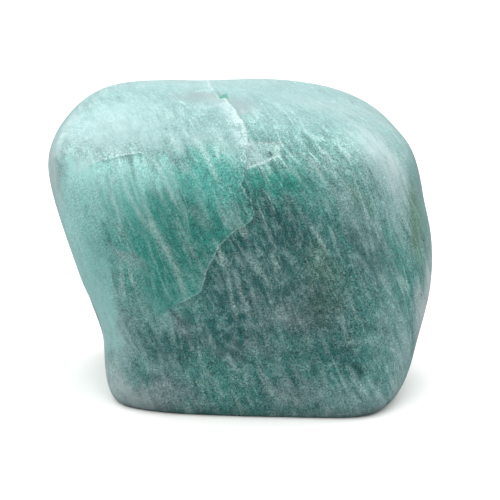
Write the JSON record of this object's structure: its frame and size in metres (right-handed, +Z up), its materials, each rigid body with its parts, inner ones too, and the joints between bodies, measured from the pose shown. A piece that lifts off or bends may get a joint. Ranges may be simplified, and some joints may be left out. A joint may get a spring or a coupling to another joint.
{
  "type": "tumbled amazonite stone",
  "caption": "Polished tumbled stone, a rounded block with worn flats, a stepped crack and a chip, that stands upright on a flat spot at its foot.",
  "frame": {"origin": "on the flat spot's plane, under the middle of the stone's bounding box", "axes": "+X along the stone's width, towards its right as seen in the picture; +Y away from the viewer, through its thickness; +Z up"},
  "size_m": [0.0298, 0.0206, 0.024],
  "materials": {
    "polished_amazonite": "tumble-polished blue-green feldspar with pale streaks and veils"
  },
  "bodies": {
    "root": {"amazonite": "polished_amazonite"}
  },
  "joints": []
}
